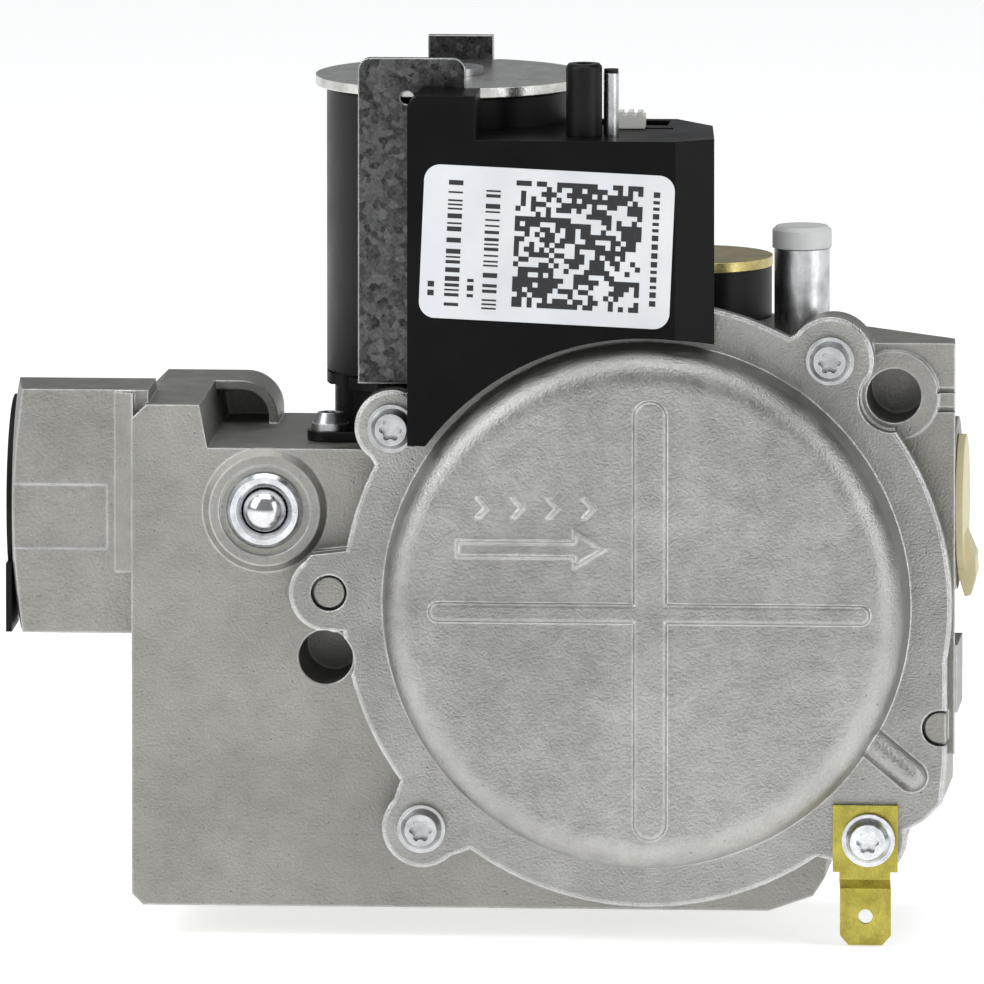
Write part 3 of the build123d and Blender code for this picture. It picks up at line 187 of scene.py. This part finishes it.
def cast_metal(name, seed, level, warm=0.01, patch=0.14, roughness=0.5, grain=0.00003):
    """Blasted die casting: blotches, fine grain, pits, and brighter edges that are partly rubbed wear
    and partly painted highlight.
    """
    s = Shader(name)
    broad = s.noise(22 * MM, seed, 3)
    blotch = s.noise(3.2 * MM, seed + 1, 5, 0.62)
    fine = s.noise(0.32 * MM, seed + 2, 3, 0.6)
    tone = s.math("ADD", s.math("MULTIPLY", broad, 0.55), s.math("MULTIPLY", blotch, 0.45))
    darker = grey(level * (1 - patch), warm)
    lighter = grey(level * (1 + patch), warm)
    base = s.mix(s.spread(tone, 0.36, 0.64, 0, 1), darker, lighter)
    speck = s.spread(fine, 0.3, 0.7, 0.0, 1.0)
    base = s.mix(s.math("MULTIPLY", speck, 0.3), base, grey(level * 0.5, warm))
    pits = s.spread(s.cells(1.9 * MM, seed + 3, output="Distance"), 0.03, 0.1, 1.0, 0.0)
    base = s.mix(s.math("MULTIPLY", pits, 0.35), base, grey(level * 0.35, warm))
    # edges lightened and smoothed: partly rubbed wear, partly a painted highlight along the edges
    wear_and_highlight = s.math("MULTIPLY", s.edges(0.45 * MM, 7.0), s.spread(blotch, 0.3, 0.6, 0.5, 1.0))
    base = s.mix(wear_and_highlight, base, grey(min(0.95, level * 2.0), 0.0))
    open_rough = s.spread(blotch, 0.3, 0.7, roughness - 0.07, roughness + 0.09)
    rough = s.math("SUBTRACT", open_rough, s.math("MULTIPLY", wear_and_highlight, 0.15))
    height = s.math("ADD", s.math("MULTIPLY", fine, 0.75), s.math("MULTIPLY", blotch, 0.6))
    height = s.math("SUBTRACT", height, s.math("MULTIPLY", pits, 0.5))
    normal = s.bump(height, grain * 5, 0.7, s.rounded(0.35 * MM))
    return s.set(Base_Color=base, Metallic=1.0, Roughness=rough, Normal=normal)


def spangled(name, seed, level):
    """Hot-dip galvanised sheet with crystal spangles and a painted highlight along its edges."""
    s = Shader(name)
    cell = s.node("ShaderNodeSeparateColor")
    s.link(s.cells(0.9 * MM, seed), cell.inputs["Color"])
    small = s.node("ShaderNodeSeparateColor")
    s.link(s.cells(0.35 * MM, seed + 4), small.inputs["Color"])
    smear = s.noise(0.7 * MM, seed + 1, 5, 0.7)
    large_tone = s.math("MULTIPLY", cell.outputs[0], 0.45)
    small_tone = s.math("MULTIPLY", small.outputs[1], 0.25)
    tone = s.math("ADD", large_tone, small_tone)
    tone = s.math("ADD", tone, s.math("MULTIPLY", smear, 0.5))
    darker = grey(level * 0.4, -0.02)
    lighter = grey(level * 1.8, -0.01)
    base = s.mix(s.spread(tone, 0.3, 0.95, 0, 1), darker, lighter)
    # painted highlight: edges mixed toward a pale grey
    edge = s.edges(0.3 * MM, 8.0)
    base = s.mix(edge, base, grey(0.85))
    rough = s.spread(cell.outputs[1], 0, 1, 0.28, 0.5)
    normal = s.bump(s.math("ADD", cell.outputs[2], smear), 0.03 * MM, 0.5, s.rounded(0.2 * MM))
    return s.set(Base_Color=base, Metallic=1.0, Roughness=rough, Normal=normal)


def plated(name, seed, colour, roughness=0.24, streak=(1, 1, 6)):
    """Plated or turned metal with fine streaks, cloudy plating and a painted highlight along the
    edges.
    """
    s = Shader(name)
    cloud = s.noise(2.5 * MM, seed, 4, 0.6)
    lines = s.noise(0.5 * MM, seed + 1, 4, 0.7, s.stretched(seed + 1, streak))
    fine = s.noise(0.18 * MM, seed + 2, 2)
    dark = (colour[0] * 0.62, colour[1] * 0.62, colour[2] * 0.62, 1)
    base = s.mix(s.spread(cloud, 0.32, 0.68, 0, 1), dark, (*colour, 1))
    base = s.mix(s.math("MULTIPLY", s.spread(lines, 0.4, 0.7, 0, 1), 0.3), base, dark)
    light = tuple(min(1.0, c * 1.3) for c in colour)
    # painted highlight: edges mixed toward a lighter copy of the colour
    base = s.mix(s.edges(0.15 * MM, 4.0), base, (*light, 1))
    rough = s.spread(lines, 0.3, 0.7, roughness - 0.07, roughness + 0.12)
    height = s.math("ADD", s.math("MULTIPLY", lines, 0.6), s.math("MULTIPLY", fine, 0.4))
    normal = s.bump(height, 0.02 * MM, 0.5, s.rounded(0.12 * MM))
    return s.set(Base_Color=base, Metallic=1.0, Roughness=rough, Normal=normal)


def moulded(name, seed, colour, roughness=0.42, texture=0.02, dust=0.12, **more):
    """Moulded plastic: faint flow marks, fine spark texture, scuffed edges and a little dust."""
    s = Shader(name)
    flow = s.noise(9 * MM, seed, 3)
    spark = s.noise(0.22 * MM, seed + 1, 2, 0.6)
    speck = s.spread(s.noise(0.7 * MM, seed + 2, 4, 0.75), 0.62, 0.72, 0, 1)
    light = tuple(min(1.0, c * 1.18 + 0.002) for c in colour)
    scuff = tuple(min(1.0, c * 1.25 + 0.03) for c in colour)
    base = s.mix(s.spread(flow, 0.35, 0.65, 0, 1), (*colour, 1), (*light, 1))
    base = s.mix(s.math("MULTIPLY", speck, dust), base, (*scuff, 1))
    base = s.mix(s.math("MULTIPLY", s.edges(0.2 * MM, 4.0), 0.6), base, (*scuff, 1))
    clean_rough = s.spread(flow, 0.3, 0.7, roughness - 0.05, roughness + 0.07)
    rough = s.math("ADD", clean_rough, s.math("MULTIPLY", speck, 0.12))
    height = s.math("ADD", spark, s.math("MULTIPLY", flow, 0.4))
    normal = s.bump(height, texture * MM, 0.6, s.rounded(0.25 * MM))
    return s.set(Base_Color=base, Roughness=rough, Normal=normal, **more)


def rubbery(name, seed, colour):
    """Matt rubber or fibre with a dusty surface."""
    return moulded(name, seed, colour, 0.68, 0.03, 0.25)


def coated_paper(name, seed):
    """Silvery white label stock with faint fibre and a rubbed sheen."""
    s = Shader(name)
    fibre = s.noise(0.5 * MM, seed, 4, 0.6)
    broad = s.noise(12 * MM, seed + 1, 2)
    base = s.mix(s.spread(broad, 0.3, 0.7, 0, 1), (0.60, 0.62, 0.65, 1), (0.72, 0.74, 0.76, 1))
    base = s.mix(s.math("MULTIPLY", fibre, 0.12), base, (0.5, 0.51, 0.54, 1))
    rough = s.spread(fibre, 0.3, 0.7, 0.32, 0.46)
    return s.set(Base_Color=base, Metallic=0.15, Roughness=rough, Normal=s.bump(fibre, 0.01 * MM, 0.4))


def printed_ink(name, seed):
    """Black thermal print, slightly broken up."""
    s = Shader(name)
    wear = s.noise(0.35 * MM, seed, 3, 0.7)
    base = s.mix(s.spread(wear, 0.6, 0.75, 0, 0.6), (0.012, 0.012, 0.014, 1), (0.12, 0.12, 0.13, 1))
    rough = s.spread(wear, 0.3, 0.7, 0.4, 0.6)
    return s.set(Base_Color=base, Roughness=rough, Normal=s.bump(wear, 0.004 * MM, 0.4))


def wound_wire(name, seed):
    """Enamelled copper turns stacked along Z."""
    s = Shader(name)
    wave = s.node("ShaderNodeTexWave")
    wave.bands_direction = "Z"
    wave.inputs["Scale"].default_value = 600
    s.link(s.coords, wave.inputs["Vector"])
    cloud = s.noise(3 * MM, seed, 3)
    base = s.mix(s.spread(cloud, 0.3, 0.7, 0, 1), (0.36, 0.13, 0.05, 1), (0.62, 0.26, 0.11, 1))
    rough = s.spread(cloud, 0.3, 0.7, 0.25, 0.4)
    normal = s.bump(wave.outputs["Fac"], 0.05 * MM, 0.8)
    return s.set(Base_Color=base, Metallic=1.0, Roughness=rough, Normal=normal)


MATERIALS = {
    "cast_aluminium": cast_metal("cast_aluminium", 10, 0.345, 0.085, 0.17, 0.46),
    "cast_aluminium_cover": cast_metal("cast_aluminium_cover", 20, 0.385, 0.05, 0.22, 0.38, 0.00004),
    "zinc_screw": plated("zinc_screw", 30, (0.62, 0.63, 0.64), 0.3),
    "zinc_bright": plated("zinc_bright", 31, (0.78, 0.80, 0.83), 0.2),
    "brass": plated("brass", 32, (0.47, 0.41, 0.085), 0.24, (6, 1, 1)),
    "steel_ball": plated("steel_ball", 33, (0.80, 0.80, 0.81), 0.14),
    "stainless_mesh": plated("stainless_mesh", 34, (0.58, 0.58, 0.59), 0.35),
    "black_cap": moulded("black_cap", 35, (0.004, 0.004, 0.004), 0.5, Specular_IOR_Level=0.18),
    "yellow_cap": moulded("yellow_cap", 36, (0.56, 0.50, 0.30), 0.45, 0.03, 0.1),
    "galvanised": spangled("galvanised", 37, 0.085),
    "zinc_plate": plated("zinc_plate", 38, (0.80, 0.80, 0.76), 0.24, (5, 5, 1)),
    "black_moulding": moulded(
        "black_moulding", 39, (0.0035, 0.0035, 0.004), 0.38, 0.02, Specular_IOR_Level=0.2
    ),
    "nylon_bobbin": moulded("nylon_bobbin", 40, (0.66, 0.62, 0.5), 0.5),
    "copper": wound_wire("copper", 41),
    "stainless_tube": plated("stainless_tube", 42, (0.62, 0.63, 0.64), 0.26, (1, 1, 0.2)),
    "rubber_seal": rubbery("rubber_seal", 43, (0.018, 0.018, 0.018)),
    "magnetic_steel": plated("magnetic_steel", 44, (0.48, 0.48, 0.49), 0.3),
    "spring_steel": plated("spring_steel", 45, (0.42, 0.42, 0.43), 0.3),
    "gasket_fibre": rubbery("gasket_fibre", 46, (0.12, 0.14, 0.12)),
    "black_gloss": moulded(
        "black_gloss", 47, (0.002, 0.002, 0.0022), 0.34, 0.015, 0.06, Specular_IOR_Level=0.1
    ),
    "white_plastic": moulded("white_plastic", 48, (0.62, 0.62, 0.58), 0.45),
    "tin_pins": plated("tin_pins", 49, (0.7, 0.7, 0.68), 0.28),
    "circuit_board": moulded("circuit_board", 50, (0.02, 0.12, 0.04), 0.35),
    "label_paper": coated_paper("label_paper", 51),
    "yellow_chromate": plated("yellow_chromate", 52, (0.66, 0.55, 0.22), 0.28),
    "machined_aluminium": plated("machined_aluminium", 53, (0.70, 0.71, 0.72), 0.34, (1, 1, 0.25)),
    "grey_plastic": moulded("grey_plastic", 54, (0.52, 0.53, 0.52), 0.48),
}
INK = printed_ink("printed_ink", 60)

for part in frame["record"]["subparts"]:
    node = NODES[part["node"]]
    material = MATERIALS[part["material_slot"]]
    if not node.material_slots:
        node.data.materials.append(material)
    for slot in node.material_slots:
        slot.material = material


BOX_FACES = ((0, 1, 2, 3), (7, 6, 5, 4), (0, 4, 5, 1), (1, 5, 6, 2), (2, 6, 7, 3), (3, 7, 4, 0))


def mesh_piece(name, boxes, material, body):
    """One mesh made of many thin closed boxes, each eight corners: front four, then back four."""
    mesh = bpy.data.meshes.new(name)
    bm = bmesh.new()
    for corners in boxes:
        made = [bm.verts.new(corner) for corner in corners]
        for face in BOX_FACES:
            bm.faces.new([made[index] for index in face])
    bmesh.ops.recalc_face_normals(bm, faces=bm.faces)
    bm.to_mesh(mesh)
    bm.free()
    piece = bpy.data.objects.new(name, mesh)
    bpy.context.scene.collection.objects.link(piece)
    mesh.materials.append(material)
    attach(piece, body)
    return piece


# ---- print on the label: a plain random grid and neutral bars, nothing that can be read ----
LABEL_TILT = math.radians(-2.5)
LABEL_LOW, LABEL_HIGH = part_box("rating_label")
LABEL_MID = (LABEL_LOW + LABEL_HIGH) / 2
INK_LIFT = 0.02 * MM


def on_label(x0, x1, z0, z1):
    """Corners of a thin printed block, from label coordinates in millimetres about its centre."""
    front = LABEL_LOW.y - INK_LIFT
    back = LABEL_LOW.y + INK_LIFT
    corners = []
    for y in (front, back):
        for x, z in ((x0, z0), (x1, z0), (x1, z1), (x0, z1)):
            turned_x = x * math.cos(LABEL_TILT) - z * math.sin(LABEL_TILT)
            turned_z = x * math.sin(LABEL_TILT) + z * math.cos(LABEL_TILT)
            corners.append((LABEL_MID.x + turned_x * MM, y, LABEL_MID.z + turned_z * MM))
    return corners


GRID_COUNT = 25
GRID_SIDE = 15.8
GRID_LEFT = -4.1
GRID_LOW = -7.7
GRID_FILL = 0.52
# each bar column as its middle, width, bottom and top, in millimetres from the label's centre
WIDE_COLUMNS = ((-11.6, 1.8, -8.0, 7.4), (-6.9, 1.8, -8.2, 6.9))
NARROW_COLUMNS = ((-14.2, 0.8, -6.8, -4.6), (-9.3, 0.8, -6.8, -4.8), (13.4, 0.8, -6.8, 7.4))


def bar_column(rng, column, heights, gaps):
    """Printed bars stacked up one column, with heights and gaps drawn at random."""
    x, size, z, top = column
    bars = []
    while z < top:
        height = rng.choice(heights)
        bars.append(on_label(x - size / 2, x + size / 2, z, z + height))
        z += height + (rng.choice(gaps) if len(gaps) > 1 else gaps[0])
    return bars


def label_marks():
    """The grid's dark runs, row by row, then the bar columns."""
    rng = random.Random(7)
    boxes = []
    cell = GRID_SIDE / GRID_COUNT
    for row in range(GRID_COUNT):
        run = 0
        for column in range(GRID_COUNT + 1):
            if column < GRID_COUNT and rng.random() < GRID_FILL:
                run += 1
                continue
            if run:
                x1 = GRID_LEFT + column * cell
                z0 = GRID_LOW + row * cell
                boxes.append(on_label(x1 - run * cell, x1, z0, z0 + cell * 1.02))
            run = 0
    for column in WIDE_COLUMNS:
        boxes += bar_column(rng, column, (0.22, 0.22, 0.4, 0.6), (0.3, 0.5, 0.8))
    for column in NARROW_COLUMNS:
        boxes += bar_column(rng, column, (0.4, 0.7), (0.4,))
    return boxes


mesh_piece("label_marks", label_marks(), INK, "valve_body")


# ---- stage: floor, light and camera ----
LIGHT_AIM = Vector((0.06, 0.0, 0.0))
FLOOR_REACH = 9.0
FLOOR_GAP = 0.2 * MM


def stage_surface():
    """A plain pale floor, flat and far wider than the camera's distance."""
    floor_z = CAD_LOW.z - FLOOR_GAP
    middle = (CAD_LOW + CAD_HIGH) / 2
    mesh = bpy.data.meshes.new("studio_floor")
    bm = bmesh.new()
    corners = []
    for i, j in ((-1, -1), (1, -1), (1, 1), (-1, 1)):
        place = (middle.x + i * FLOOR_REACH, middle.y + j * FLOOR_REACH, floor_z)
        corners.append(bm.verts.new(place))
    bm.faces.new(corners)
    bm.to_mesh(mesh)
    bm.free()
    floor = bpy.data.objects.new("studio_floor", mesh)
    bpy.context.scene.collection.objects.link(floor)
    s = Shader("studio_paper")
    tone = s.noise(0.12, 90, 2)
    base = s.mix(tone, (0.90, 0.90, 0.90, 1), (0.93, 0.93, 0.93, 1))
    mesh.materials.append(
        s.set(Base_Color=base, Roughness=0.9, Emission_Color=(1, 1, 1, 1), Emission_Strength=0.6)
    )


def area_light(name, place, size, power):
    """A soft rectangular light at place, aimed at the valve."""
    data = bpy.data.lights.new(name, "AREA")
    data.shape = "RECTANGLE"
    data.size, data.size_y = size
    data.energy = power
    lamp = bpy.data.objects.new(name, data)
    bpy.context.scene.collection.objects.link(lamp)
    lamp.location = place
    lamp.rotation_mode = "QUATERNION"
    lamp.rotation_quaternion = (Vector(place) - LIGHT_AIM).to_track_quat("Z", "Y")


def studio():
    """A dim even sky, a key from the upper left, a fill from the right and one overhead."""
    world = bpy.data.worlds.new("studio")
    bpy.context.scene.world = world
    world.use_nodes = True
    background = world.node_tree.nodes["Background"]
    background.inputs["Color"].default_value = (0.95, 0.97, 1.0, 1)
    background.inputs["Strength"].default_value = 0.3
    area_light("key_left", (-0.6, -0.4, 0.5), (0.5, 0.7), 4.2)
    area_light("fill_right", (0.75, -0.4, 0.25), (0.4, 0.7), 2.4)
    area_light("top", (0.06, -0.1, 0.75), (0.7, 0.5), 2.6)
    bpy.context.scene.view_settings.view_transform = "Standard"


AIM = Vector((60.25, -18.0, 3.1)) * MM
AZIMUTH = math.radians(4.0)
ELEVATION = math.radians(7.3)
DISTANCE = 4.0
FRAME_WIDTH = 0.1225
SENSOR_WIDTH = 36.0


def camera():
    """A long lens far off, so that the view is nearly parallel."""
    data = bpy.data.cameras.new("camera")
    data.sensor_width = SENSOR_WIDTH
    data.lens = SENSOR_WIDTH * DISTANCE / FRAME_WIDTH
    eye = bpy.data.objects.new("camera", data)
    bpy.context.scene.collection.objects.link(eye)
    back = Vector(
        (
            math.sin(AZIMUTH) * math.cos(ELEVATION),
            -math.cos(AZIMUTH) * math.cos(ELEVATION),
            math.sin(ELEVATION),
        )
    )
    eye.location = AIM + back * DISTANCE
    eye.rotation_mode = "QUATERNION"
    eye.rotation_quaternion = back.to_track_quat("Z", "Y")
    data.clip_start = 0.01
    data.clip_end = 10.0
    bpy.context.scene.camera = eye


stage_surface()
studio()
camera()
